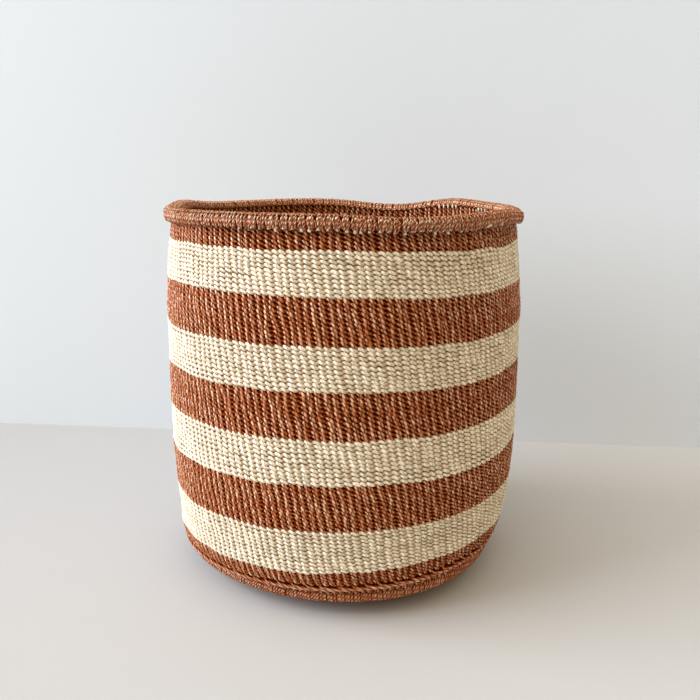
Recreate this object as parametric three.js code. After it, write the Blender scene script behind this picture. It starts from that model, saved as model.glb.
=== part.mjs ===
// A round planter basket, twined by hand from sisal, striped in terracotta and natural fibre.
// Millimetres, +Z up. The origin is the middle of the underside, on the surface the basket stands on.
import * as THREE from "three";

// The wall: its outer radius at three heights, and its thickness.
const MOUTH_RADIUS = 132.2;
const BELLY_RADIUS = 140;
const BELLY_HEIGHT = 124;
const FOOT_RADIUS = 135.7;
const WALL_THICKNESS = 5;
const SHOULDER_FULLNESS = 4; // how long the wall stays wide before it draws in to the mouth
const FLANK_FULLNESS = 2; // the same below the belly

// The rounded corner between wall and underside, and what is worked into it.
const CORNER_RADIUS = 50;
const FLOOR_THICKNESS = 5;
const CHAIN_TOP_HEIGHT = 30.3;
const CHAIN_WIDTH = 5.2;
const CHAIN_PROUD = 1.6;
const CORNER_ROWS_WIDTH = 5.2;
const ROLL_RADIUS = 4.2;
const ROLL_INSET = 1; // the roll's centre lies this far inside the corner's outer surface

// The stripes, from the chain ridge upwards.
const STRIPE_1_HEIGHT = 10.7;
const STRIPE_2_HEIGHT = 32.8;
const STRIPE_3_HEIGHT = 33.9;
const STRIPE_4_HEIGHT = 32.3;
const STRIPE_5_HEIGHT = 32.2;
const STRIPE_6_HEIGHT = 30.5;
const STRIPE_7_HEIGHT = 31.5;
const STRIPE_8_HEIGHT = 29.6;
const STRIPE_9_HEIGHT = 17.2;
const TERRACOTTA = { color: 0xa5602f, roughness: 0.9, metalness: 0 };
const NATURAL = { color: 0xdccda4, roughness: 0.88, metalness: 0 };
const STRIPES = [
  { fibre: TERRACOTTA, height: STRIPE_1_HEIGHT },
  { fibre: NATURAL, height: STRIPE_2_HEIGHT },
  { fibre: TERRACOTTA, height: STRIPE_3_HEIGHT },
  { fibre: NATURAL, height: STRIPE_4_HEIGHT },
  { fibre: TERRACOTTA, height: STRIPE_5_HEIGHT },
  { fibre: NATURAL, height: STRIPE_6_HEIGHT },
  { fibre: TERRACOTTA, height: STRIPE_7_HEIGHT },
  { fibre: NATURAL, height: STRIPE_8_HEIGHT },
  { fibre: TERRACOTTA, height: STRIPE_9_HEIGHT },
];

// The rim: the warps are turned outward over the wall, cut short, and whipped down.
const WARP_COUNT = 158;
const LIP_THICKNESS = 4.6; // of the turned-out warps, outside the wall
const LIP_OVER_WALL = 2.6; // how far they arch above the wall's last row
const LIP_DROP = 4.7; // how far they hang below it
const STITCH_THICKNESS = 1.3;
const STITCH_SCALLOP = 0.5; // each stitch stands this much prouder than the dip beside it
const RIM_ROUNDING = 2.4;
const WARP_END_LENGTH = 2;
const WARP_END_SCALLOP = 1.1;

// How the finished basket has settled, measured from a true circle.
const LEAN_AT_FOOT = 6.9; // the right-hand side of the rows is this much higher at the foot
const LEAN_AT_MOUTH = -2.8;
const LEAN_RISE = 30; // height over which the lean builds up from the flat underside
const MOUTH_TILT_BACK = -2.3;
const MOUTH_RISE = 2.5;
const MOUTH_DIP = 6;
const MOUTH_DIP_ANGLE = 70;
const MOUTH_DIP_SPREAD = 20;
const MOUTH_WAVE_DEPTH = 45; // the wave of the mouth dies out over this much wall
const LIP_RIPPLE_DEPTH = 22; // the lip's own ripples over this much
const BACK_RIPPLE = 2.7;
const BACK_RIGHT_RIPPLE = 2.6;
const LEFT_RIPPLE = 3.2;
const FRONT_RIPPLE = -1.6;
const FRONT_RIGHT_RIPPLE = 1.8;
const RIGHT_RIPPLE = -2;
const LIP_RIPPLES = [
  { rise: BACK_RIPPLE, angle: 80, spread: 45 },
  { rise: BACK_RIGHT_RIPPLE, angle: 42, spread: 16 },
  { rise: LEFT_RIPPLE, angle: 170, spread: 14 },
  { rise: FRONT_RIPPLE, angle: -75, spread: 12 },
  { rise: FRONT_RIGHT_RIPPLE, angle: -38, spread: 14 },
  { rise: RIGHT_RIPPLE, angle: -12, spread: 12 },
];
const SAG = 2.5; // the rows hang this much lower at the front right
const SAG_ANGLE = -52;
const SAG_SPREAD = 25;
const SAG_RISE = 40; // height over which the sag builds up from the corner
const FOOT_OVAL = 2.5;
const FOOT_OVAL_ANGLE = 35;
const FOOT_LOBE = 3.9;
const FOOT_LOBE_ANGLE = 52.5;
const FOOT_SHAPE_HEIGHT = 60; // above this height the wall is round

const SEAT_GAP = 0.3; // between neighbouring pieces
const FACETS = 52;

const degrees = (angle) => THREE.MathUtils.degToRad(angle);
const ease = (x) => THREE.MathUtils.smoothstep(x, 0, 1);

// Heights that follow from the sizes above.
const wallTop = CHAIN_TOP_HEIGHT + STRIPES.reduce((sum, stripe) => sum + stripe.height, 0);
const rimTop = wallTop + SEAT_GAP + LIP_OVER_WALL + SEAT_GAP + STITCH_THICKNESS + STITCH_SCALLOP;

// Outer radius of the wall at a height: the corner's arc, then the flank, then the shoulder.
function wallRadius(z) {
  if (z < CORNER_RADIUS) {
    const drop = CORNER_RADIUS - z;
    return FOOT_RADIUS - CORNER_RADIUS + Math.sqrt(CORNER_RADIUS ** 2 - drop ** 2);
  }
  if (z < BELLY_HEIGHT) {
    const share = (BELLY_HEIGHT - z) / (BELLY_HEIGHT - CORNER_RADIUS);
    return BELLY_RADIUS - (BELLY_RADIUS - FOOT_RADIUS) * share ** FLANK_FULLNESS;
  }
  const share = (z - BELLY_HEIGHT) / (wallTop - BELLY_HEIGHT);
  return BELLY_RADIUS - (BELLY_RADIUS - MOUTH_RADIUS) * share ** SHOULDER_FULLNESS;
}

// A point of the corner: angle below the horizontal, and distance outside the outer surface.
function cornerPoint(angle, outside = 0) {
  const reach = CORNER_RADIUS + outside;
  return new THREE.Vector2(
    FOOT_RADIUS - CORNER_RADIUS + reach * Math.cos(angle),
    CORNER_RADIUS - reach * Math.sin(angle),
  );
}

// The angle that a length along the corner's outer surface takes up.
const cornerAngle = (length) => length / CORNER_RADIUS;

// How near a direction round the basket is to a given one: 1 there, and falling off either side.
function nearness(around, angle, spread) {
  const off = Math.abs(around - degrees(angle));
  const share = Math.min(off, 2 * Math.PI - off) / degrees(spread);
  return Math.exp(-(share ** 2));
}

// Moves a vertex of the true round basket to where the settled basket has it.
function settle(point) {
  const radius = Math.hypot(point.x, point.y);
  const around = Math.atan2(point.y, point.x);
  const round = ease(point.z / FOOT_SHAPE_HEIGHT);
  const outline =
    FOOT_OVAL * Math.cos(2 * (around - degrees(FOOT_OVAL_ANGLE))) +
    FOOT_LOBE * Math.cos(3 * (around - degrees(FOOT_LOBE_ANGLE)));
  const grown = 1 + ((1 - round) * outline) / FOOT_RADIUS;

  const up = point.z / rimTop;
  const lean = THREE.MathUtils.lerp(LEAN_AT_FOOT, LEAN_AT_MOUTH, up);
  const built = ease((point.z - FLOOR_THICKNESS) / LEAN_RISE);
  const tilt = (lean * point.x + up ** 2 * MOUTH_TILT_BACK * point.y) / BELLY_RADIUS;

  const dip = MOUTH_DIP * nearness(around, MOUTH_DIP_ANGLE, MOUTH_DIP_SPREAD);
  const wave = (MOUTH_RISE * point.x) / BELLY_RADIUS - dip;
  const nearMouth = ease((point.z - (rimTop - MOUTH_WAVE_DEPTH)) / MOUTH_WAVE_DEPTH);

  const ripple = LIP_RIPPLES.reduce(
    (sum, { rise, angle, spread }) => sum + rise * nearness(around, angle, spread),
    0,
  );
  const nearLip = ease((point.z - (rimTop - LIP_RIPPLE_DEPTH)) / LIP_RIPPLE_DEPTH);
  const sag = SAG * nearness(around, SAG_ANGLE, SAG_SPREAD);
  const aboveCorner = ease((point.z - CORNER_RADIUS) / SAG_RISE);

  const settled = built * tilt + nearMouth * wave + nearLip * ripple - aboveCorner * sag;
  return point.set(
    radius * grown * Math.cos(around),
    radius * grown * Math.sin(around),
    point.z + settled,
  );
}

// Turns a section into a ring, or a dish if it meets the axis, and settles it. Where lobes are
// given, every second facet edge is moved by shape(point, 1) and the rest by shape(point, 0).
function turned(name, fibre, section, lobes = 0, shape = null) {
  const facets = lobes ? 2 * lobes : FACETS;
  const closed = section[0].x === 0 ? section : [...section, section[0].clone()];
  const geometry = new THREE.LatheGeometry(closed, facets).rotateX(Math.PI / 2);
  const positions = geometry.attributes.position;
  const point = new THREE.Vector3();
  for (let i = 0; i < positions.count; i += 1) {
    point.fromBufferAttribute(positions, i);
    if (shape) {
      const edge = Math.floor(i / closed.length);
      shape(point, edge % 2);
    }
    settle(point);
    positions.setXYZ(i, point.x, point.y, point.z);
  }
  geometry.computeVertexNormals();
  const mesh = new THREE.Mesh(geometry, new THREE.MeshStandardMaterial(fibre));
  mesh.name = name;
  return mesh;
}

const at = (radius, height) => new THREE.Vector2(radius, height);

// Angles down the corner at which its pieces begin and end.
const chainStart = Math.asin((CORNER_RADIUS - CHAIN_TOP_HEIGHT) / CORNER_RADIUS);
const chainEnd = chainStart + cornerAngle(CHAIN_WIDTH);
const rowsStart = chainEnd + cornerAngle(SEAT_GAP);
const rowsEnd = rowsStart + cornerAngle(CORNER_ROWS_WIDTH);
const rollMiddle = rowsEnd + cornerAngle(SEAT_GAP + ROLL_RADIUS);
const floorStart = rollMiddle + cornerAngle(ROLL_RADIUS + SEAT_GAP);

// The floor: a flat twined disc that starts to turn up at its edge.
function floorDish() {
  const steps = 4;
  const underside = [at(0, 0)];
  const inside = [at(0, FLOOR_THICKNESS)];
  for (let i = 0; i <= steps; i += 1) {
    const angle = Math.PI / 2 - ((Math.PI / 2 - floorStart) * i) / steps;
    underside.push(cornerPoint(angle));
    inside.push(cornerPoint(angle, -FLOOR_THICKNESS));
  }
  return turned("base_floor", TERRACOTTA, [...underside, ...inside.reverse()]);
}

// The foot roll: a bundle whipped round with close stitches, laid into the corner.
function footRoll() {
  const centre = cornerPoint(rollMiddle, -ROLL_INSET);
  const sides = 8;
  const section = [];
  for (let i = 0; i < sides; i += 1) {
    const turn = (2 * Math.PI * i) / sides;
    section.push(
      at(centre.x + ROLL_RADIUS * Math.cos(turn), centre.y + ROLL_RADIUS * Math.sin(turn)),
    );
  }
  return turned("foot_roll", TERRACOTTA, section);
}

// The two rows between the roll and the chain ridge.
function cornerRows() {
  return turned("corner_rows", TERRACOTTA, [
    cornerPoint(rowsEnd),
    cornerPoint(rowsStart),
    cornerPoint(rowsStart, -WALL_THICKNESS),
    cornerPoint(rowsEnd, -WALL_THICKNESS),
  ]);
}

// The chain ridge: one row of three strands that stands proud and marks the turn of the wall.
function chainRidge() {
  const shoulder = (chainEnd - chainStart) / 4;
  return turned("chain_ridge", TERRACOTTA, [
    cornerPoint(chainEnd, 0),
    cornerPoint(chainEnd - shoulder, CHAIN_PROUD),
    cornerPoint(chainStart + shoulder, CHAIN_PROUD),
    cornerPoint(chainStart, 0),
    cornerPoint(chainStart, -WALL_THICKNESS),
    cornerPoint(chainEnd, -WALL_THICKNESS),
  ]);
}

// One stripe of the wall. The lowest starts square to the corner, on the chain ridge.
function wallStripe(name, fibre, bottom, top) {
  const low = bottom + SEAT_GAP;
  const onChain = bottom === CHAIN_TOP_HEIGHT;
  const seat = chainStart - cornerAngle(SEAT_GAP);
  return turned(name, fibre, [
    onChain ? cornerPoint(seat) : at(wallRadius(low), low),
    at(wallRadius(top), top),
    at(wallRadius(top) - WALL_THICKNESS, top),
    onChain ? cornerPoint(seat, -WALL_THICKNESS) : at(wallRadius(low) - WALL_THICKNESS, low),
  ]);
}

// Radii of the rim, each resting on the one inside it.
const mouthInside = MOUTH_RADIUS - WALL_THICKNESS;
const lipInside = MOUTH_RADIUS + SEAT_GAP;
const lipOutside = lipInside + LIP_THICKNESS;
const lipUnder = wallTop + SEAT_GAP;
const lipTop = lipUnder + LIP_OVER_WALL;
const stitchInside = lipOutside + SEAT_GAP;
const stitchUnder = lipTop + SEAT_GAP;

// The turned-out warps: they lie on the wall's last row and hang outside it.
function rimCore() {
  const foot = wallTop - LIP_DROP;
  const flare = wallRadius(foot) - MOUTH_RADIUS;
  return turned("rim_core", NATURAL, [
    at(lipOutside + flare, foot),
    at(lipOutside, lipTop - RIM_ROUNDING),
    at(lipOutside - RIM_ROUNDING, lipTop),
    at(mouthInside, lipTop),
    at(mouthInside, lipUnder),
    at(lipInside, lipUnder),
    at(lipInside + flare, foot),
  ]);
}

// The whipping over the lip: one stitch to a warp, so its top and face are scalloped.
function rimStitching() {
  const foot = wallTop - LIP_DROP;
  const flare = wallRadius(foot) - MOUTH_RADIUS;
  const top = stitchUnder + STITCH_THICKNESS;
  const face = stitchInside + STITCH_THICKNESS;
  const swell = (point, proud) => {
    const radius = Math.hypot(point.x, point.y);
    if (proud && point.z > top - 0.01) point.z += STITCH_SCALLOP;
    if (proud && radius > stitchInside + flare + 0.01) {
      const wider = (radius + STITCH_SCALLOP) / radius;
      point.x *= wider;
      point.y *= wider;
    }
  };
  const section = [
    at(face + flare, foot),
    at(face, top - RIM_ROUNDING),
    at(face - RIM_ROUNDING, top),
    at(mouthInside + STITCH_THICKNESS, top),
    at(mouthInside, stitchUnder),
    at(stitchInside - RIM_ROUNDING, stitchUnder),
    at(stitchInside, stitchUnder - RIM_ROUNDING),
    at(stitchInside + flare, foot),
  ];
  return turned("rim_stitching", TERRACOTTA, section, WARP_COUNT, swell);
}

// The cut warp ends that peep out in a row under the stitching, joined behind by the lip.
function warpEnds() {
  const top = wallTop - LIP_DROP - SEAT_GAP;
  const bottom = top - WARP_END_LENGTH;
  const flare = wallRadius(bottom) - MOUTH_RADIUS;
  const cut = (point, proud) => {
    const radius = Math.hypot(point.x, point.y);
    if (proud || radius < lipInside + flare + 0.01) return;
    const narrower = (radius - WARP_END_SCALLOP) / radius;
    point.x *= narrower;
    point.y *= narrower;
  };
  const section = [
    at(lipOutside + flare, bottom),
    at(lipOutside + flare, top),
    at(lipInside + flare, top),
    at(lipInside + flare, bottom),
  ];
  return turned("warp_ends", NATURAL, section, WARP_COUNT, cut);
}

const basket = new THREE.Group();
basket.add(floorDish(), footRoll(), cornerRows(), chainRidge());
let stripeBottom = CHAIN_TOP_HEIGHT;
STRIPES.forEach(({ fibre, height }, index) => {
  const colour = fibre === TERRACOTTA ? "terracotta" : "natural";
  const name = `wall_stripe_${index + 1}_${colour}`;
  basket.add(wallStripe(name, fibre, stripeBottom, stripeBottom + height));
  stripeBottom += height;
});
basket.add(rimCore(), rimStitching(), warpEnds());

export default basket;
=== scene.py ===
import math

import bpy
import numpy as np
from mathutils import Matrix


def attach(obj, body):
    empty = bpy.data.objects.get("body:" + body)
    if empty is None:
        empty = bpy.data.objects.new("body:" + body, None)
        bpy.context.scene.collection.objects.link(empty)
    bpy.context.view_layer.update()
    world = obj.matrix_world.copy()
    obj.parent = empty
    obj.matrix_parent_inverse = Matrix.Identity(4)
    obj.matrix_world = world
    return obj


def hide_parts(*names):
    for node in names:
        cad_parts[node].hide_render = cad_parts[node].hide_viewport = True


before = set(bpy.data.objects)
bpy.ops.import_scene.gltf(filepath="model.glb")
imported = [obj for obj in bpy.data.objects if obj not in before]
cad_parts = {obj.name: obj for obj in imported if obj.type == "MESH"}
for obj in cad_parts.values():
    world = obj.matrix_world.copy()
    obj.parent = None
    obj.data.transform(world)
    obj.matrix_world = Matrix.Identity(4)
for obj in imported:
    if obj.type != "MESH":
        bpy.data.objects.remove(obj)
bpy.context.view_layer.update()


# The camera stands a little above the mouth and looks down at the front of the basket, as in the
# photograph. The small shift puts the basket's axis left of the middle of the frame.
MILLIMETRE = 0.001
CAMERA_BACK = 638.9 * MILLIMETRE
CAMERA_HEIGHT = 320.6 * MILLIMETRE
CAMERA_DOWN = math.radians(13.33)
CAMERA_SHIFT = 0.009
SENSOR_WIDTH = 36
FOCAL_PIXELS = 800
IMAGE_PIXELS = 700
bpy.ops.object.camera_add(
    location=(0, -CAMERA_BACK, CAMERA_HEIGHT), rotation=(math.pi / 2 - CAMERA_DOWN, 0, 0)
)
camera = bpy.context.object
camera.name = "camera"
camera.data.sensor_width = SENSOR_WIDTH
camera.data.lens = SENSOR_WIDTH * FOCAL_PIXELS / IMAGE_PIXELS
camera.data.shift_x = CAMERA_SHIFT
camera.data.clip_start = 10 * MILLIMETRE
bpy.context.scene.camera = camera
bpy.context.scene.view_settings.view_transform = "Standard"


# The studio: a plain off-white floor and a plain wall behind it, turned a little to the camera and
# seen from its front only, so that the basket can be looked at from behind as well. Every material
# of the scene is written with the two classes below, first used here.
class Wire:
    """An output of a shader node. Sums written with it add the Math nodes that work them out."""

    def __init__(self, finish, node, output):
        self.finish, self.made, self.socket = finish, node, node.outputs[output]

    def out(self, output):
        return Wire(self.finish, self.made, output)

    def sum(self, operation, first, second):
        return self.finish.node("ShaderNodeMath", {"operation": operation}, {0: first, 1: second})

    def __add__(self, other):
        return self.sum("ADD", self, other)

    def __sub__(self, other):
        return self.sum("SUBTRACT", self, other)

    def __rsub__(self, other):
        return self.sum("SUBTRACT", other, self)

    def __mul__(self, other):
        return self.sum("MULTIPLY", self, other)

    def __pow__(self, other):
        return self.sum("POWER", self, other)


class Finish:
    """A node material. Its shader's plain values are given when it is made."""

    def __init__(self, name, **plain):
        self.material = bpy.data.materials.new(name)
        self.material.use_nodes = True
        self.tree = self.material.node_tree
        self.shader = self.tree.nodes["Principled BSDF"]
        for socket, value in plain.items():
            self.shader.inputs[socket.replace("_", " ")].default_value = value

    def node(self, kind, settings, sockets, output=0):
        made = self.tree.nodes.new(kind)
        for name, value in settings.items():
            setattr(made, name, value)
        for name, value in sockets.items():
            if isinstance(value, Wire):
                self.tree.links.new(value.socket, made.inputs[name])
            else:
                made.inputs[name].default_value = value
        return Wire(self, made, output)

    def feed(self, socket, wire):
        self.tree.links.new(wire.socket, self.shader.inputs[socket])

    def mix(self, share, first, second, blend="MIX"):
        """Mixes two colours. The Mix node has them at inputs 6 and 7 and its colour at output 2."""
        settings = {"data_type": "RGBA", "blend_type": blend}
        return self.node("ShaderNodeMix", settings, {0: share, 6: first, 7: second}, 2)


def linear(red, green, blue):
    """A colour as it is seen on screen, 0 to 255, as the shader's linear values."""
    shares = [value / 255 for value in (red, green, blue)]
    return [s / 12.92 if s <= 0.04045 else ((s + 0.055) / 1.055) ** 2.4 for s in shares] + [1.0]


FLOOR_SIDE = 6.0
WALL_BEHIND = 0.271
WALL_TURN = math.radians(-6.2)
STUDIO_ROUGHNESS = 0.95
SHADE_REACH = 0.4
floor_finish = Finish("studio_floor", Roughness=STUDIO_ROUGHNESS)
wall_finish = Finish("studio_wall", Roughness=STUDIO_ROUGHNESS)
# Floor and wall are painted darker towards the lamp on the left and cooler towards the warm sky on the
# right: painted shade that evens out the light on them.
for finish, left, right in (
    (floor_finish, linear(171, 168, 171), linear(207, 206, 211)),
    (wall_finish, linear(203, 206, 212), linear(225, 230, 242)),
):
    place = finish.node("ShaderNodeTexCoord", {}, {}, "Object")
    across = finish.node("ShaderNodeSeparateXYZ", {}, {0: place})
    reach = {"Value": across, "From Min": -SHADE_REACH, "From Max": SHADE_REACH}
    share = finish.node("ShaderNodeMapRange", {}, reach)
    finish.feed("Base Color", finish.mix(share, left, right))
behind = wall_finish.node("ShaderNodeNewGeometry", {}, {}, "Backfacing")
wall_finish.feed("Alpha", 1 - behind)
bpy.ops.mesh.primitive_plane_add(size=FLOOR_SIDE, location=(0, 0, 0))
studio_floor = bpy.context.object
studio_floor.name = "studio_floor"
studio_floor.data.materials.append(floor_finish.material)
bpy.ops.mesh.primitive_plane_add(
    size=FLOOR_SIDE, location=(0, WALL_BEHIND, 0), rotation=(math.pi / 2, 0, WALL_TURN)
)
studio_wall = bpy.context.object
studio_wall.name = "studio_wall"
studio_wall.data.materials.append(wall_finish.material)


# The light: one broad soft lamp to the left, as a window gives, and a pale sky that fills the
# shadows. Towards the right the sky dims and turns warm, as a furnished room does. Where the camera
# looks past the floor, it sees a plain pale grey instead.
SKY_LEFT = 1.3
SKY_RIGHT = 0.63
OVERHEAD = 1.3
COOL_SKY = (0.94, 0.98, 1.0, 1.0)
WARM_SKY = (1.0, 0.76, 0.28, 1.0)
PLAIN_GREY = (0.75, 0.76, 0.77, 1.0)
WINDOW_STRENGTH = 56
WINDOW_COLOUR = (0.88, 0.96, 1.0)
WINDOW_WIDTH = 1.8
WINDOW_HEIGHT = 1.3
world = bpy.data.worlds.new("sky")
world.use_nodes = True
sky = world.node_tree
background = sky.nodes["Background"]
direction = sky.nodes.new("ShaderNodeTexCoord")
parts = sky.nodes.new("ShaderNodeSeparateXYZ")
rightness = sky.nodes.new("ShaderNodeMapRange")
rightness.inputs["From Min"].default_value = -1
dimming = sky.nodes.new("ShaderNodeMapRange")
dimming.inputs["To Min"].default_value = SKY_LEFT
dimming.inputs["To Max"].default_value = SKY_RIGHT
warming = sky.nodes.new("ShaderNodeMix")
warming.data_type = "RGBA"
warming.inputs[6].default_value = COOL_SKY
warming.inputs[7].default_value = WARM_SKY
sky.links.new(direction.outputs["Generated"], parts.inputs[0])
sky.links.new(parts.outputs[0], rightness.inputs["Value"])
sky.links.new(rightness.outputs[0], dimming.inputs["Value"])
sky.links.new(rightness.outputs[0], warming.inputs[0])
overhead = sky.nodes.new("ShaderNodeMapRange")
overhead.inputs["To Min"].default_value = 1 - OVERHEAD / 2
overhead.inputs["To Max"].default_value = 1 + OVERHEAD / 2
sky.links.new(parts.outputs[2], overhead.inputs["Value"])
strength = sky.nodes.new("ShaderNodeMath")
strength.operation = "MULTIPLY"
sky.links.new(dimming.outputs[0], strength.inputs[0])
sky.links.new(overhead.outputs[0], strength.inputs[1])
sky.links.new(strength.outputs[0], background.inputs["Strength"])
sky.links.new(warming.outputs[2], background.inputs["Color"])
plain = sky.nodes.new("ShaderNodeBackground")
plain.inputs["Color"].default_value = PLAIN_GREY
seen = sky.nodes.new("ShaderNodeLightPath")
either = sky.nodes.new("ShaderNodeMixShader")
sky.links.new(seen.outputs["Is Camera Ray"], either.inputs[0])
sky.links.new(background.outputs[0], either.inputs[1])
sky.links.new(plain.outputs[0], either.inputs[2])
sky.links.new(either.outputs[0], sky.nodes["World Output"].inputs["Surface"])
bpy.context.scene.world = world
window_place = np.array([-1.7, -0.2, 0.95])
window_aim = np.array([0.0, 0.0, 0.15]) - window_place
bpy.ops.object.light_add(
    type="AREA",
    location=window_place,
    rotation=(
        math.atan2(math.hypot(window_aim[0], window_aim[1]), -window_aim[2]),
        0,
        math.atan2(window_aim[1], window_aim[0]) - math.pi / 2,
    ),
)
window = bpy.context.object
window.name = "window"
window.data.shape = "RECTANGLE"
window.data.size = WINDOW_WIDTH
window.data.size_y = WINDOW_HEIGHT
window.data.energy = WINDOW_STRENGTH
window.data.color = WINDOW_COLOUR
window.visible_camera = False


# The floor of the basket: terracotta cords twined in rings round warps that radiate from the
# middle. The warps would be hidden, so only their outer ends are made, with those of the wall. It
# is where the shape and the cords of the whole basket are first needed.
FOOT_RADIUS = 135.7
CORNER_RADIUS = 50
BELLY_RADIUS = 140
BELLY_HEIGHT = 124
MOUTH_RADIUS = 132.2
WALL_TOP = 281.0
RIM_TOP = 286.0
FLOOR_THICKNESS = 5
FLAT = FOOT_RADIUS - CORNER_RADIUS
CORNER_END = FLAT + CORNER_RADIUS * math.pi / 2


def ease(share):
    share = np.clip(share, 0, 1)
    return share * share * (3 - 2 * share)


def outside_radius(height):
    """Radius of the wall's outer surface, above the corner."""
    below = np.clip((BELLY_HEIGHT - height) / (BELLY_HEIGHT - CORNER_RADIUS), 0, 1)
    above = np.clip((height - BELLY_HEIGHT) / (WALL_TOP - BELLY_HEIGHT), 0, 1)
    flank = (BELLY_RADIUS - FOOT_RADIUS) * below**2
    return BELLY_RADIUS - flank - (BELLY_RADIUS - MOUTH_RADIUS) * above**4


def profile(path):
    """Radius and height of the outer surface, this far along it from the middle of the underside."""
    bend = np.clip((path - FLAT) / CORNER_RADIUS, 0, math.pi / 2)
    height = CORNER_RADIUS * (1 - np.cos(bend)) + np.maximum(path - CORNER_END, 0)
    radius = np.minimum(path, FLAT) + CORNER_RADIUS * np.sin(bend)
    return np.where(path > CORNER_END, outside_radius(height), radius), height


def path_at(height):
    """The inverse: how far along the outer surface a height lies."""
    if height < CORNER_RADIUS:
        return FLAT + CORNER_RADIUS * math.acos(1 - height / CORNER_RADIUS)
    return CORNER_END + height - CORNER_RADIUS


def on_surface(around, path, out):
    """Points this far outside the outer surface, and the directions outwards and up the surface."""
    around, path, out = np.broadcast_arrays(around, path, out)
    radius, height = profile(path)
    radius_on, height_on = profile(path + 0.5)
    radius_back, height_back = profile(path - 0.5)
    up_radius, up_height = radius_on - radius_back, height_on - height_back
    length = np.hypot(up_radius, up_height)
    up_radius, up_height = up_radius / length, up_height / length
    across, along = np.cos(around), np.sin(around)
    radius = radius + out * up_height
    place = np.stack([radius * across, radius * along, height - out * up_radius], -1)
    outward = np.stack([up_height * across, up_height * along, -up_radius], -1)
    upward = np.stack([up_radius * across, up_radius * along, up_height], -1)
    return place, outward, upward


def nearness(around, angle, spread):
    """How near a direction round the basket is to a given one: 1 there, falling off either side."""
    off = np.abs(around - math.radians(angle))
    return np.exp(-((np.minimum(off, 2 * math.pi - off) / math.radians(spread)) ** 2))


LEAN_AT_FOOT = 6.9
LEAN_AT_MOUTH = -2.8
LEAN_RISE = 30
MOUTH_TILT_BACK = 2.3
MOUTH_RISE = 2.5
MOUTH_DIP = 6
MOUTH_DIP_ANGLE = 70
MOUTH_DIP_SPREAD = 20
MOUTH_WAVE_DEPTH = 45
LIP_RIPPLE_DEPTH = 22
SAG = 2.5
SAG_ANGLE = -52
SAG_SPREAD = 25
SAG_RISE = 40
FOOT_OVAL = 2.5
FOOT_OVAL_ANGLE = math.radians(35)
FOOT_LOBE = 3.9
FOOT_LOBE_ANGLE = math.radians(52.5)
FOOT_SHAPE_HEIGHT = 60
LIP_RIPPLES = [
    (2.7, 80, 45), (2.6, 42, 16), (3.2, 170, 14), (-1.6, -75, 12), (1.8, -38, 14), (-2.0, -12, 12),
]


def settle(place):
    """Where the settled basket has a point of the true round one, as in the solids."""
    x, y, height = place[..., 0], place[..., 1], place[..., 2]
    around = np.arctan2(y, x)
    outline = FOOT_OVAL * np.cos(2 * (around - FOOT_OVAL_ANGLE))
    outline += FOOT_LOBE * np.cos(3 * (around - FOOT_LOBE_ANGLE))
    grown = 1 + (1 - ease(height / FOOT_SHAPE_HEIGHT)) * outline / FOOT_RADIUS
    up = height / RIM_TOP
    lean = LEAN_AT_FOOT + (LEAN_AT_MOUTH - LEAN_AT_FOOT) * up
    tilt = lean * x - MOUTH_TILT_BACK * up**2 * y
    settled = ease((height - FLOOR_THICKNESS) / LEAN_RISE) * tilt / BELLY_RADIUS
    dip = MOUTH_DIP * nearness(around, MOUTH_DIP_ANGLE, MOUTH_DIP_SPREAD)
    wave = MOUTH_RISE * x / BELLY_RADIUS - dip
    settled += ease((height - (RIM_TOP - MOUTH_WAVE_DEPTH)) / MOUTH_WAVE_DEPTH) * wave
    near_lip = ease((height - (RIM_TOP - LIP_RIPPLE_DEPTH)) / LIP_RIPPLE_DEPTH)
    for rise, angle, spread in LIP_RIPPLES:
        settled += near_lip * rise * nearness(around, angle, spread)
    above_corner = ease((height - CORNER_RADIUS) / SAG_RISE)
    settled -= SAG * above_corner * nearness(around, SAG_ANGLE, SAG_SPREAD)
    return np.stack([x * grown, y * grown, height + settled], -1)


PATTERN_LENGTH = 10  # of cord, in millimetres, to one unit of the map that the sisal reads


def unit(vectors):
    return vectors / np.linalg.norm(vectors, axis=-1, keepdims=True)


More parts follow.
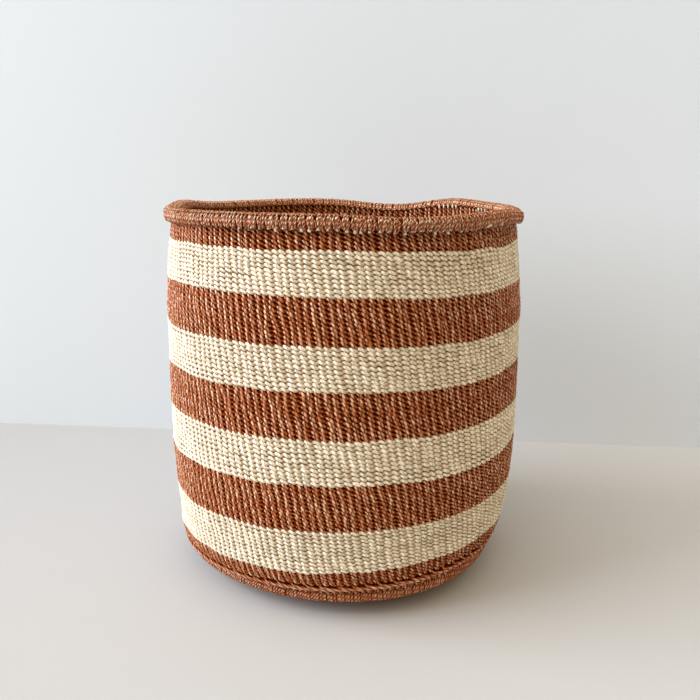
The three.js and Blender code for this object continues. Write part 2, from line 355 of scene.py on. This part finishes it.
def cords(place, outward, half_width, half_depth, tone_and_highlight, shade_depth, sides=6, closed=False, twist=1.0):
    """Tubes round rows of points, one row to a cord, flattened to the surface they lie on."""
    count, steps = place.shape[:2]
    if closed:
        ahead, behind = np.roll(place, -1, 1), np.roll(place, 1, 1)
    else:
        ahead = np.concatenate([place[:, 1:], place[:, -1:]], 1)
        behind = np.concatenate([place[:, :1], place[:, :-1]], 1)
    tangent = unit(ahead - behind)
    across = unit(np.cross(outward, tangent))
    out = np.cross(tangent, across)
    turn = np.arange(sides) * 2 * math.pi / sides
    half_width = np.broadcast_to(half_width, (count, steps))[..., None, None]
    half_depth = np.broadcast_to(half_depth, (count, steps))[..., None, None]
    vertices = (
        place[:, :, None]
        + half_width * np.cos(turn)[:, None] * across[:, :, None]
        + half_depth * np.sin(turn)[:, None] * out[:, :, None]
    )
    length = np.zeros((count, steps + 1))
    gaps = np.linalg.norm(np.diff(place, axis=1, append=place[:, :1]), axis=-1)
    length[:, 1:] = np.cumsum(gaps, 1)
    number = np.arange(count * steps * sides).reshape(count, steps, sides)
    onward = np.roll(number, -1, 1)
    if not closed:
        number_faces, onward_faces = number[:, :-1], onward[:, :-1]
    else:
        number_faces, onward_faces = number, onward
    spans = number_faces.shape[1]
    beside, beside_onward = np.roll(number_faces, -1, 2), np.roll(onward_faces, -1, 2)
    quads = np.stack([number_faces, beside, beside_onward, onward_faces], -1).reshape(-1, 4)
    low = np.broadcast_to(length[:, :spans, None], (count, spans, sides))
    high = np.broadcast_to(length[:, 1 : spans + 1, None], (count, spans, sides))
    side = np.broadcast_to(np.arange(sides) / sides, (count, spans, sides))
    step = 1 / sides
    lengths = np.stack([low, low, high, high], -1) * twist / PATTERN_LENGTH
    rounds = np.stack([side, side + step, side + step, side], -1)
    uv = np.stack([lengths, rounds], -1).reshape(-1, 4, 2)
    caps = np.empty((0, sides), int)
    if not closed:
        caps = np.concatenate([number[:, 0, ::-1], number[:, -1]])
    tone_and_highlight = np.broadcast_to(np.broadcast_to(tone_and_highlight, (count, steps))[..., None], number.shape)
    shade_depth = np.broadcast_to(np.broadcast_to(shade_depth, (count, steps))[..., None], number.shape)
    return {
        "vertices": settle(vertices.reshape(-1, 3)) * MILLIMETRE,
        "quads": quads,
        "uv": uv,
        "caps": caps,
        "tone_and_highlight": tone_and_highlight.ravel(),
        "shade_depth": shade_depth.ravel(),
    }


def piece(name, batches, finish, nodes):
    """Makes one mesh of batches of cords, and gives it to the frame."""
    start, faces = 0, []
    for batch in batches:
        faces.append((batch["quads"] + start, batch["caps"] + start))
        start += len(batch["vertices"])
    quads = np.concatenate([pair[0] for pair in faces])
    caps = [pair[1] for pair in faces if len(pair[1])]
    corners = [quads.ravel()] + [cap.ravel() for cap in caps]
    totals = [np.full(len(quads), 4)] + [np.full(len(cap), cap.shape[1]) for cap in caps]
    uv = [batch["uv"].reshape(-1, 2) for batch in batches]
    uv += [np.full((cap.size, 2), 0.5) for cap in caps]
    corners, totals, uv = np.concatenate(corners), np.concatenate(totals), np.concatenate(uv)
    vertices = np.concatenate([batch["vertices"] for batch in batches])
    mesh = bpy.data.meshes.new(name)
    mesh.vertices.add(len(vertices))
    mesh.vertices.foreach_set("co", vertices.ravel())
    mesh.loops.add(len(corners))
    mesh.loops.foreach_set("vertex_index", corners)
    mesh.polygons.add(len(totals))
    mesh.polygons.foreach_set("loop_start", np.cumsum(totals) - totals)
    mesh.polygons.foreach_set("use_smooth", np.arange(len(totals)) < len(quads))
    mesh.update(calc_edges=True)
    mesh.uv_layers.new(name="cord").data.foreach_set("uv", uv.ravel())
    # Attributes that the sisal reads: tone, random and with painted highlight, and depth, which sets
    # painted shade.
    for label in ("tone_and_highlight", "shade_depth"):
        values = np.concatenate([batch[label] for batch in batches])
        mesh.attributes.new(label, "FLOAT", "POINT").data.foreach_set("value", values)
    mesh.materials.append(finish.material)
    made = bpy.data.objects.new(name, mesh)
    bpy.context.scene.collection.objects.link(made)
    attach(made, "root")
    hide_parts(*nodes)


PLY_TWIST = 3.0
STREAK_SHARE = 0.4


def sisal(name, colour, dull, highlight_colour, shade_colour, shade_share, plies, relief):
    """Two-ply sisal: plies that wind round each other, and fibres along them that catch the light,
    partly by gloss and partly by a painted highlight.
    """
    finish = Finish(name, Roughness=0.6, Specular_IOR_Level=0.0, Coat_Roughness=0.45, Coat_IOR=2.2)
    uv = finish.node("ShaderNodeUVMap", {"uv_map": "cord"}, {})
    split = finish.node("ShaderNodeSeparateXYZ", {}, {0: uv})
    length, side = split.out("X"), split.out("Y")
    tone_and_highlight = finish.node("ShaderNodeAttribute", {"attribute_name": "tone_and_highlight"}, {}, "Fac")
    shade_depth = finish.node("ShaderNodeAttribute", {"attribute_name": "shade_depth"}, {}, "Fac")
    # crevice is 1 where a cord meets the next one and 0 on its front.
    from_front = finish.node("ShaderNodeMath", {"operation": "FRACT"}, {0: side * 2}) - 0.5
    crevice = finish.node("ShaderNodeMath", {"operation": "ABSOLUTE"}, {0: from_front}) * 2
    turns = side * 2 - length * PLY_TWIST
    from_ply = finish.node("ShaderNodeMath", {"operation": "FRACT"}, {0: turns}) - 0.5
    groove = finish.node("ShaderNodeMath", {"operation": "ABSOLUTE"}, {0: from_ply}) * 2
    ridge = 1 - groove**2
    crown = (1 - crevice**2) * (1 - shade_depth)
    strands = finish.node(
        "ShaderNodeCombineXYZ", {}, {0: length * 3, 1: turns * 5, 2: tone_and_highlight * 9}
    )
    fibres = finish.node(
        "ShaderNodeTexNoise", {}, {"Vector": strands, "Scale": 1.0, "Detail": 3.0, "Roughness": 0.6}
    )
    streaks = finish.node(
        "ShaderNodeMapRange", {}, {"Value": fibres, "From Min": 0.48, "From Max": 0.7}
    )
    shadowed = finish.node(
        "ShaderNodeMapRange", {}, {"Value": fibres, "From Min": 0.5, "From Max": 0.32}
    )
    body = finish.mix(shadowed * 0.7, colour, dull)
    # Painted highlight: the pale colour on the crests of the plies, by fibre streaks and by the tone
    # attribute, which is high where a stitch comes out into the lamp's light.
    lit = finish.node("ShaderNodeMapRange", {}, {"Value": tone_and_highlight, "From Min": 0.5, "From Max": 1.05})
    crest = ridge * crown
    gleam = crest * (streaks * STREAK_SHARE + lit * (1 - STREAK_SHARE))
    body = finish.mix(gleam, body, highlight_colour)
    # Painted shade: the deep colour in the grooves between plies, in the crevices where cords meet,
    # and where the weave lies deep.
    body = finish.mix(groove**2 * shade_share * plies, body, shade_colour)
    body = finish.mix(crevice**3 * shade_share, body, shade_colour)
    body = finish.mix(shade_depth * shade_depth * shade_share, body, shade_colour)
    # The tone attribute also scales the whole colour: random tone, and painted highlight where it is
    # raised.
    shade = finish.mix(1.0, body, tone_and_highlight * 0.25 + 0.82, "MULTIPLY")
    finish.feed("Base Color", shade)
    finish.feed("Coat Weight", ridge * crown * (streaks * STREAK_SHARE + (1 - STREAK_SHARE)))
    bump = finish.node(
        "ShaderNodeBump", {}, {"Strength": 1.0, "Distance": relief, "Height": streaks * 0.25 + ridge}
    )
    finish.feed("Normal", bump)
    return finish


# Colours in order: the cord, its duller fibres, the pale painted highlight and the deep painted shade.
terracotta = sisal(
    "sisal_terracotta", linear(208, 107, 14), linear(178, 88, 6), linear(250, 226, 192),
    linear(110, 6, 0), shade_share=0.76, plies=1.1, relief=0.001,
)
natural = sisal(
    "sisal_natural", linear(243, 231, 206), linear(236, 212, 166), linear(252, 250, 246),
    linear(150, 80, 2), shade_share=0.66, plies=0.5, relief=0.0004,
)

WARPS = 158
COLUMN_LEAN = 0.14
LEAN_FROM = 30
random = np.random.default_rng(7)

# Slow, random changes of the weave: a row to each station along the path from the middle of the
# floor to the rim, and a column to each place round the basket.
STATION_GAP = 13.0
STATIONS = 33
column_wobble = random.normal(0, 0.11, (STATIONS, WARPS))
row_wave = random.normal(0, 0.42, (STATIONS, 36))
swell = random.normal(0, 0.3, (STATIONS, 60))
column_tone = random.normal(0, 0.06, (STATIONS, WARPS))


def drift(table, share, path):
    """Reads a table of slow, random changes, round the basket by share and along its path."""
    place = np.clip(np.asarray(path, float) / STATION_GAP, 0, len(table) - 1.001)
    row = place.astype(int)
    mix = ease(place - row)
    column = (share % 1) * table.shape[1]
    left = column.astype(int) % table.shape[1]
    right = (left + 1) % table.shape[1]
    part = ease(column - np.floor(column))
    lower = table[row, left] * (1 - part) + table[row, right] * part
    upper = table[row + 1, left] * (1 - part) + table[row + 1, right] * part
    return lower * (1 - mix) + upper * mix


def column_turn(column, path, columns):
    """Angle round the basket of a warp, at a place along its path."""
    share = column / columns
    lean = COLUMN_LEAN * (np.maximum(path, FLAT) - path_at(LEAN_FROM)) / BELLY_RADIUS
    wobble = drift(column_wobble, share, path) / WARPS
    return 2 * math.pi * (share + wobble) - lean


ROW_STEPS = 4
SHARPER_CLIMB = 0.15
UNEVEN_CLIMB = 0.15
UNEVEN_LIFT = 0.12
UNEVEN_WIDTH = 0.07
ROW_TONE = 0.42
UNEVEN_TONE = 0.28
# Tone added at the head of each stitch and on the crests inside the basket: painted highlight.
HEAD_HIGHLIGHT = 0.55
INSIDE_HIGHLIGHT = 0.7


def twined_row(
    path, rise, columns=WARPS, out=-2.95, weave=2.1, waist=0.21, climbs=0.5, quick=0.8,
    within=2.0, crest=0.43,
):
    """One row: two cords that change places between each warp and the next.

    The row's middle lies out from the surface. A cord swings to weave beyond that over a warp and
    to within short of it behind one, and moves up and down by climbs of the row's rise. Its half
    width goes from waist to crest of the rise. The smaller quick is, the sooner it changes sides.
    """
    column = np.arange(columns * ROW_STEPS) / ROW_STEPS
    ring = np.arange(columns + 1)

    def along(values):
        return np.interp(column, ring, np.append(values, values[0]))

    stitch = random.normal(0, 1, (2, columns))
    fat = random.normal(0, 1, (2, columns))
    stitch_rise = random.normal(0, 1, (2, columns))
    row_tone = random.normal(0, 0.1)
    places, outs, widths, depths, tones, shade_depths = [], [], [], [], [], []
    row_path = path + drift(row_wave, column / columns, path)
    for cord in (0, 1):
        phase = math.pi * (column + cord)
        over = np.cos(phase)
        over = over * np.sqrt((1 + quick) / (over**2 + quick))
        climb = -climbs * rise * (np.sin(phase) + SHARPER_CLIMB * np.sin(3 * phase))
        climb = climb + UNEVEN_CLIMB * along(stitch_rise[cord])
        proud = np.where(over > 0, weave, within) * over + UNEVEN_LIFT * along(stitch[cord])
        if path > FLAT:
            proud = proud + drift(swell, column / columns, path)
        around = column_turn(column, row_path + climb, columns)
        place, outward, _ = on_surface(around, row_path + climb, out + proud)
        places.append(place)
        outs.append(outward)
        fatness = 1 + UNEVEN_WIDTH * along(fat[cord])
        widths.append((waist + (crest - waist) * over**2) * rise * fatness)
        depths.append((0.8 + 0.2 * over**2) * fatness)
        # The head of each stitch, at its upper left, and its crests on the inside are raised in tone:
        # painted highlight.
        head = np.clip(np.cos(phase + 0.7), 0, 1) ** 3
        tone_and_highlight = ROW_TONE + row_tone + UNEVEN_TONE * along(stitch[cord]) + HEAD_HIGHLIGHT * head
        tone_and_highlight = tone_and_highlight + INSIDE_HIGHLIGHT * np.clip(-over, 0, 1) ** 3
        tones.append(np.clip(tone_and_highlight + drift(column_tone, column / columns, path), 0, 1.2))
        # Painted shade: 1 at the crossings, where the cords go back between the warps.
        shade_depths.append(1 - over**2)
    return cords(
        np.array(places), np.array(outs), np.array(widths), np.array(depths),
        np.array(tones), np.array(shade_depths), closed=True,
    )


FLOOR_RISE = 3.1
FLOOR_START = 5
FLOOR_END = 124.2
MIDDLE = 88.0
WARPS_FROM = [(MIDDLE, WARPS), (MIDDLE / 2, 80), (MIDDLE / 4, 40), (0, 20)]
COIL_STEPS = 60
floor_width = FLOOR_END - FLOOR_START
floor_rows = int(floor_width / FLOOR_RISE)
floor_paths = FLOOR_START + (np.arange(floor_rows) + 0.5) * floor_width / floor_rows
middle, edge = [], []
for path in floor_paths:
    columns = next(count for start, count in WARPS_FROM if path > start)
    row = twined_row(path, FLOOR_RISE, columns, out=-3.2, weave=1.6, within=1.6, crest=0.46)
    (edge if path > MIDDLE else middle).append(row)
spiral = np.linspace(0, 1, COIL_STEPS)
coil, coil_out, _ = on_surface(spiral * 5 * math.pi, 0.6 + 4.6 * spiral, -2.4)
# The coil in the middle has a little painted shade all over.
middle.append(
    cords(coil[None], coil_out[None], half_width=1.1, half_depth=1.8, tone_and_highlight=0.5, shade_depth=0.3)
)
piece("floor_middle", middle, terracotta, ["base_floor"])
piece("floor_edge", edge, terracotta, ["base_floor"])


# The foot roll: a bundle laid into the corner, whipped round with close, soft upright stitches
# that are a little fuzzy.
ROLL_ANGLE = math.radians(41.8)
ROLL_RADIUS = 4.2
ROLL_INSET = 1.0
ROLL_STITCHES = 380
ROLL_STEPS = 10
STRAND_DEPTH = 0.6
BUNDLE_RADIUS = 3.1
RING_STEPS = 160
roll_path = FLAT + CORNER_RADIUS * (math.pi / 2 - ROLL_ANGLE)
steps = np.arange(ROLL_STITCHES * ROLL_STEPS)
around = 2 * math.pi * steps / len(steps)
wind = 2 * math.pi * steps / ROLL_STEPS
fat = np.repeat(random.normal(1, 0.08, ROLL_STITCHES), ROLL_STEPS)
# The roll's tone is random about a raised level: painted light on the roll, which sits in the shade of
# the corner.
tone_and_highlight = np.repeat(random.normal(0.6, 0.12, ROLL_STITCHES), ROLL_STEPS)
tone_and_highlight = np.clip(tone_and_highlight + random.normal(0, 0.18, len(steps)), 0, 1)
slip = np.append(random.normal(0, 0.2, ROLL_STITCHES), 0)
slip = np.interp(steps / ROLL_STEPS, np.arange(ROLL_STITCHES + 1), slip)
around = around - 0.006 * np.sin(wind) + slip * 2 * math.pi / ROLL_STITCHES
centre, outward, upward = on_surface(around, roll_path, -ROLL_INSET)
spoke = np.cos(wind)[:, None] * outward + np.sin(wind)[:, None] * upward
strand = centre + (ROLL_RADIUS - STRAND_DEPTH) * spoke
strand_width = (1.15 + 0.15 * np.cos(wind)) * fat
# Each stitch gets painted shade where it passes round the inner side of the roll.
whipping = cords(
    strand[None], spoke[None], strand_width[None], STRAND_DEPTH, tone_and_highlight[None],
    (0.15 - 0.15 * np.cos(wind))[None], closed=True, twist=1.2,
)
ring = np.arange(RING_STEPS) * 2 * math.pi / RING_STEPS
place, outward, _ = on_surface(ring, roll_path, -ROLL_INSET)
# The bundle under the whipping has painted shade all over.
bundle = cords(
    place[None], outward[None], BUNDLE_RADIUS, BUNDLE_RADIUS, tone_and_highlight=0.5, shade_depth=0.4,
    sides=10, closed=True,
)
piece("foot_roll_whipped", [bundle, whipping], terracotta, ["foot_roll"])


# Two rows of twining between the roll and the chain ridge, on the turn of the corner.
ROWS_LOW = FLAT + CORNER_RADIUS * math.radians(90 - 35.5)
ROWS_HIGH = FLAT + CORNER_RADIUS * math.radians(90 - 29.5)
CORNER_RISE = 2.6
corner_paths = [ROWS_LOW + (ROWS_HIGH - ROWS_LOW) * share for share in (0.25, 0.75)]
corner = [twined_row(path, CORNER_RISE) for path in corner_paths]
piece("corner_twining", corner, terracotta, ["corner_rows"])


# The chain ridge: three cords that each pass over several warps at a time, so that their long
# stitches stand proud in a rope that marks the turn of the wall.
CHAIN_ANGLE = math.radians(29.2)
CHAIN_TURNS = 26
CHAIN_STEPS = 20
TONE_STEPS = 8
CHAIN_TURN = [0, 20, 45, 90, 135, 180, 215, 240, 265, 300, 340, 360]
CHAIN_CLIMB = [3.2, 3.1, 2.9, 2.5, 2.0, 1.4, 0.9, 0.5, 0.4, 1.4, 2.9, 3.2]
CHAIN_LIFT = [-2.4, -0.6, 0.1, 0.5, 0.7, 0.7, 0.4, -0.6, -2.2, -3.2, -3.2, -2.4]
chain_path = FLAT + CORNER_RADIUS * (math.pi / 2 - CHAIN_ANGLE)
column = np.arange(CHAIN_TURNS * CHAIN_STEPS)
around = 2 * math.pi * column / len(column)
chain = []
loose = random.normal(0, 0.4, CHAIN_TURNS * 2)
loose = np.interp(column, np.arange(CHAIN_TURNS * 2 + 1) * CHAIN_STEPS / 2, np.append(loose, loose[0]))
for cord in range(3):
    wind = 2 * math.pi * (column / CHAIN_STEPS + cord / 3) + loose
    turn = np.degrees(wind) % 360
    climb = np.interp(turn, CHAIN_TURN, CHAIN_CLIMB)
    proud = np.interp(turn, CHAIN_TURN, CHAIN_LIFT)
    place, outward, upward = on_surface(around, chain_path + climb, proud)
    # Tone, random along each cord, sets its painted highlight; a cord gets painted shade where it
    # sinks in.
    knots = np.arange(0, len(column), TONE_STEPS)
    tone_and_highlight = np.interp(column, knots, random.normal(0.75, 0.2, len(knots)))
    chain.append(
        cords(
            place[None], outward[None], half_width=1.1, half_depth=0.8, tone_and_highlight=tone_and_highlight[None],
            shade_depth=np.clip(-proud / 3, 0, 1)[None], sides=8, closed=True, twist=0.6,
        )
    )
piece("chain_ridge_twined", chain, terracotta, ["chain_ridge"])


# The wall: nine stripes, terracotta and natural in turn. A stripe is a stack of twined rows, each a
# closed ring; the terracotta cords swing in and out more than the natural ones.
STRIPES = [
    (10.7, 4), (32.8, 11), (33.9, 11), (32.3, 10), (32.2, 10), (30.5, 10), (31.5, 10),
    (29.6, 10), (17.2, 6),
]
CHAIN_TOP = 30.3
TERRACOTTA_LAY = {
    "out": -2.4, "weave": 1.55, "waist": 0.22, "climbs": 0.5, "quick": 0.8, "within": 2.0,
    "crest": 0.43,
}
NATURAL_LAY = {
    "out": -1.75, "weave": 0.85, "waist": 0.39, "climbs": 0.27, "quick": 0.3, "within": 2.3,
    "crest": 0.46,
}
FIBRES = [(terracotta, "terracotta", TERRACOTTA_LAY), (natural, "natural", NATURAL_LAY)]
bottom = CHAIN_TOP
for index, (height, rows) in enumerate(STRIPES):
    low, high = path_at(bottom), path_at(bottom + height)
    rise = (high - low) / rows
    fibre, colour, lay = FIBRES[index % 2]
    stack = [twined_row(low + (row + 0.5) * rise, rise, **lay) for row in range(rows)]
    piece(
        "weave_%d_%s" % (index + 1, colour), stack, fibre,
        ["wall_stripe_%d_%s" % (index + 1, colour)],
    )
    bottom += height


# The warps: inside the wall they are flat strips that overlap, wider than the real cords, so that
# nothing shows through between stitches. They take the sisal of the stripe they are in at full
# depth, so they are painted in its shade colour: painted shade in the gaps. At the rim they are
# cords turned outward over the last row and cut short; two ends have slipped out.
WARP_STEPS = 6
WARP_START = FLAT - 6
WARP_OUT = -2.8
column = np.arange(WARPS)[:, None]
bounds = np.cumsum([CHAIN_TOP] + [height for height, _ in STRIPES])
warps = [[], []]
for index, (low, high) in enumerate(zip(bounds, bounds[1:])):
    start = WARP_START if index == 0 else path_at(low)
    path = np.linspace(start, path_at(high), WARP_STEPS)[None]
    place, outward, _ = on_surface(column_turn(column, path, WARPS), path, WARP_OUT)
    warps[index % 2].append(
        cords(place, outward, half_width=4.3, half_depth=0.5, tone_and_highlight=0.5, shade_depth=1.0, sides=4)
    )
piece("warps_in_terracotta", warps[0], terracotta, [])
piece("warps_in_natural", warps[1], natural, [])
LIP_RADIUS = [126.8, 126.2, 128.6, 130.0, 132.2, 135.2, 137.5, 137.6, 136.6, 136.4, 136.8, 137.0]
LIP_HEIGHT = [278.6, 280.6, 282.2, 283.9, 284.3, 284.2, 283.6, 282.5, 280.4, 278.2, 276.6, 275.2]
LIP_WIDTH = [1.0, 1.0, 1.0, 1.0, 1.0, 1.0, 1.05, 1.05, 0.9, 0.9, 1.05, 1.1]
LIP_STEPS = len(LIP_WIDTH)
LIP_MIDDLE_RADIUS = 132.8
LIP_MIDDLE_HEIGHT = 279.9


def over_rim(around, radius, height):
    """Points of the rim, and the direction away from the middle of its section."""
    around, radius, height = np.broadcast_arrays(around, radius, height)
    spoke_radius, spoke_height = radius - LIP_MIDDLE_RADIUS, height - LIP_MIDDLE_HEIGHT
    size = np.hypot(spoke_radius, spoke_height)
    place = np.stack([radius * np.cos(around), radius * np.sin(around), height], -1)
    across, up = spoke_radius / size, spoke_height / size
    return place, np.stack([across * np.cos(around), across * np.sin(around), up], -1)


rim_turn = column_turn(column, path_at(WALL_TOP), WARPS)
facing = np.arctan2(np.sin(rim_turn), np.cos(rim_turn))
shows_inside = np.abs(facing - math.radians(43.2)) < math.radians(5.4)
shows_inside = shows_inside | (np.abs(facing - math.radians(21.8)) < math.radians(2.9))
shows_outside = np.clip(3 * nearness(facing, -81, 16.5), 0, 1)
ends_show = np.clip(3 * nearness(facing, -88, 26), 0, 1)
PITCH = 2 * math.pi / WARPS
down = np.linspace(0, 1, LIP_STEPS)[None]
lean = random.normal(-0.1, 0.1, (WARPS, 1)) * PITCH
turned_around = rim_turn + lean * ease((down - 0.45) / 0.55)
cut = np.clip(random.normal(0.4, 0.8, (WARPS, 1)), -0.5, 2) + 1.4 * (1 - ends_show)
lip_height = np.array(LIP_HEIGHT)[None] + cut * ease((down - 0.6) / 0.4)
lip_radius = np.array(LIP_RADIUS)[None] + 3.4 * (1 - shows_inside) * (down < 0.3)
under = random.normal(0.5, 0.4, (WARPS, 1)) + 2.4 * (1 - shows_outside)
lip_radius = lip_radius - np.clip(under, 0, 3) * (down > 0.4) * (down < 0.85)
lip_radius = lip_radius - 2.4 * (1 - ends_show) * (down > 0.85)
lip_width = np.array(LIP_WIDTH)[None] * random.normal(1, 0.12, (WARPS, LIP_STEPS))
place, spoke = over_rim(turned_around, lip_radius, lip_height)
warp_tone = np.clip(random.normal(0.8, 0.2, (WARPS, 1)), 0, 1)
turned = cords(place, spoke, lip_width, half_depth=0.9, tone_and_highlight=warp_tone, shade_depth=0.0)
slipped_turn = np.radians([[-46.3, -45.6, -45.0, -44.4], [-38.8, -38.6, -38.4, -38.2]])
slipped_height = np.array([[277.4, 277.8, 278.3, 278.8], [276.9, 277.5, 278.1, 278.7]])
place, spoke = over_rim(slipped_turn, 138.5, slipped_height)
slipped = cords(
    place, spoke, half_width=np.array([[0.75], [1.0]]), half_depth=0.7, tone_and_highlight=0.8, shade_depth=0.0
)
piece("warps_turned_out", [turned, slipped], natural, ["rim_core", "warp_ends"])


# The whipping: thin terracotta cord that binds each turned-out warp. It comes up inside the mouth,
# goes over the edge and closes to a point outside. Short stitches fill the gaps, cords run along
# the top and the inner edge, and three plain rings lie under all of them, darkened with painted
# shade so that the gaps between stitches read dark.
WHIP_RADIUS = [128.8, 127.1, 126.6, 126.8, 127.5, 129.0, 131.4, 134.0, 136.4, 137.8, 138.4, 138.3,
               137.8, 136.9]
WHIP_HEIGHT = [281.6, 282.0, 282.7, 283.6, 284.5, 285.1, 285.6, 285.6, 284.9, 283.3, 281.5, 279.8,
               278.1, 276.5]
WHIP_SPREAD = [0.25, 0.25, 0.25, 0.25, 0.25, 0.24, 0.2, 0.12, 0.22, 0.35, 0.34, 0.27, 0.19, 0.13]
WHIP_WIDTH = [1.1, 1.25, 1.25, 1.25, 1.25, 1.15, 1.0, 0.8, 0.7, 0.75, 0.8, 0.8, 0.75, 0.6]
WHIP_STEPS = len(WHIP_WIDTH)
WHIP_TWIST = 1.2
FILL_STEPS = 6
FILL_LOW = 277.0
RUNNING_STEPS = 6
whip = []
for side in (-1, 1):
    jitter = random.normal(0, 0.04, (WARPS, 1)) + random.normal(0, 0.025, (WARPS, WHIP_STEPS))
    spread = side * 0.92 * np.array(WHIP_SPREAD)[None] + jitter
    radius = np.array(WHIP_RADIUS)[None] + random.normal(0, 0.15, (WARPS, WHIP_STEPS))
    height = np.array(WHIP_HEIGHT)[None] + random.normal(0, 0.15, (WARPS, WHIP_STEPS))
    height[:, -3:] += random.normal(0.4, 0.5, (WARPS, 1)) * ends_show
    place, spoke = over_rim(rim_turn + spread * PITCH, radius, height)
    # A high tone gives the whipping strong painted highlights.
    tone_and_highlight = random.normal(0.9, 0.15, (WARPS, 1)) + random.normal(0, 0.15, (WARPS, WHIP_STEPS))
    tone_and_highlight = np.clip(tone_and_highlight, 0, 1.15)
    width = np.array(WHIP_WIDTH)[None] * random.normal(1, 0.08, (WARPS, 1))
    whip.append(cords(place, spoke, width, 0.75, tone_and_highlight, shade_depth=0.0, twist=WHIP_TWIST))
fill = np.linspace(0, 1, FILL_STEPS)[None]
# Short fill stitches and cords between them, with a little painted shade.
for side in (-1, 1):
    fill_turn = rim_turn + (side * 0.1 + random.normal(0, 0.03, (WARPS, 1))) * PITCH
    top = random.normal(283.6, 0.5, (WARPS, 1))
    radius = 138.0 + 0.4 * np.sin(math.pi * fill) - 1.2 * fill**2
    place, spoke = over_rim(fill_turn, radius, top - (top - FILL_LOW) * fill)
    tone_and_highlight = np.clip(random.normal(0.65, 0.15, (WARPS, FILL_STEPS)), 0, 1)
    width = 0.4 + 0.35 * np.sin(math.pi * fill)
    whip.append(cords(place, spoke, width, 0.6, tone_and_highlight, shade_depth=0.25, twist=WHIP_TWIST))
    between = 0.5 + side * (0.08 + 0.2 * fill) + random.normal(0, 0.04, (WARPS, 1))
    height = random.normal(282.2, 0.4, (WARPS, 1)) - 5.2 * fill
    place, spoke = over_rim(rim_turn + between * PITCH, 138.1 - 0.9 * fill**2, height)
    tone_and_highlight = np.clip(random.normal(0.75, 0.15, (WARPS, FILL_STEPS)), 0, 1)
    whip.append(cords(place, spoke, 0.7, 0.6, tone_and_highlight, shade_depth=0.1, twist=WHIP_TWIST))
column = np.arange(WARPS * RUNNING_STEPS) / RUNNING_STEPS
around = column_turn(column, path_at(WALL_TOP), WARPS)
for cord in range(4):
    phase = math.pi * (column + cord)
    hump = np.cos(phase)
    radius = 133.6 + 0.6 * hump + 0.7 * np.sin(phase)
    height = 285.0 + 0.7 * hump - 0.3 * np.sin(phase)
    if cord > 1:
        radius = 127.0 - 0.7 * hump
        height = 281.5 - 0.6 * np.sin(phase)
    place, spoke = over_rim(around, radius, height)
    tone_and_highlight = np.clip(random.normal(0.6, 0.2, len(column)), 0, 1)
    # Painted shade where a running cord dips into the rim.
    whip.append(
        cords(
            place[None], spoke[None], half_width=0.85, half_depth=0.75, tone_and_highlight=tone_and_highlight[None],
            shade_depth=(0.3 - 0.3 * hump)[None], closed=True, twist=WHIP_TWIST,
        )
    )
for radius, height, half_width, half_depth in (
    (132.0, 283.2, 2.6, 0.9), (135.3, 279.8, 0.8, 2.6), (128.9, 281.2, 0.8, 1.9)
):
    place, _ = over_rim(ring, radius, height)
    upright = np.zeros_like(place) + [0, 0, 1]
    whip.append(
        cords(
            place[None], upright[None], half_width, half_depth, tone_and_highlight=0.3, shade_depth=0.6,
            sides=8, closed=True,
        )
    )
piece("rim_whipping", whip, terracotta, ["rim_stitching"])


# Stray fibres: sisal is hairy, and short ends of it stand out of the cords all over, most of all
# from the foot roll. One longer end of the whipping hangs loose under the rim, front right.
HAIR_RADIUS = 0.09
HAIR_STEPS = 4
HAIRS_PER_MILLIMETRE = 9
ROLL_HAIRS = 1300


def hairs(around, path, out, longest):
    """Short fibres that leave the surface at random and bend over."""
    count = len(around)
    start, outward, upward = on_surface(around, path, out)
    sideways = np.cross(upward, outward)
    heading = random.uniform(0, 2 * math.pi, (count, 1))
    along = np.cos(heading) * sideways + np.sin(heading) * upward
    size = random.uniform(0.4, 1, (count, 1, 1)) * longest
    part = np.linspace(0, 1, HAIR_STEPS)[None, :, None]
    lift = random.uniform(0.3, 0.9, (count, 1, 1))
    curl = random.normal(0, 0.5, (count, 1, 1))
    place = start[:, None] + size * (
        part * along[:, None] + lift * (part - 0.6 * part**2) * outward[:, None]
        + curl * part**2 * np.cross(along, outward)[:, None]
    )
    outward = np.broadcast_to(outward[:, None], place.shape)
    tone_and_highlight = random.uniform(0.5, 1, (count, 1))
    return cords(place, outward, HAIR_RADIUS, HAIR_RADIUS, tone_and_highlight, shade_depth=0.0, sides=3)


fibres = [[], []]
for index, (low, high) in enumerate(zip(bounds, bounds[1:])):
    count = int(HAIRS_PER_MILLIMETRE * (high - low))
    around = random.uniform(0, 2 * math.pi, count)
    path = random.uniform(path_at(low + 1), path_at(high - 1), count)
    fibres[index % 2].append(hairs(around, path, -1.2, 2.6))
around = random.uniform(0, 2 * math.pi, ROLL_HAIRS)
path = roll_path + random.uniform(-4.5, 3.5, ROLL_HAIRS)
fibres[0].append(hairs(around, path, ROLL_RADIUS - ROLL_INSET - 1.0, 2.2))
loose_turn = np.radians([-34.2, -34.6, -35.6, -36.4, -36.0, -36.0, -37.4])
loose_radius = np.array([138.0, 138.5, 137.9, 136.7, 136.2, 136.2, 136.4])
loose_height = np.array([278.5, 277.0, 275.0, 273.4, 271.6, 269.4, 267.2])
place, spoke = over_rim(loose_turn, loose_radius, loose_height)
# A tone above 1 gives the loose end a full painted highlight.
fibres[0].append(
    cords(
        place[None], spoke[None], half_width=0.45, half_depth=0.45, tone_and_highlight=1.15, shade_depth=0.0,
        twist=0.2,
    )
)
piece("stray_fibres_terracotta", fibres[0], terracotta, [])
piece("stray_fibres_natural", fibres[1], natural, [])
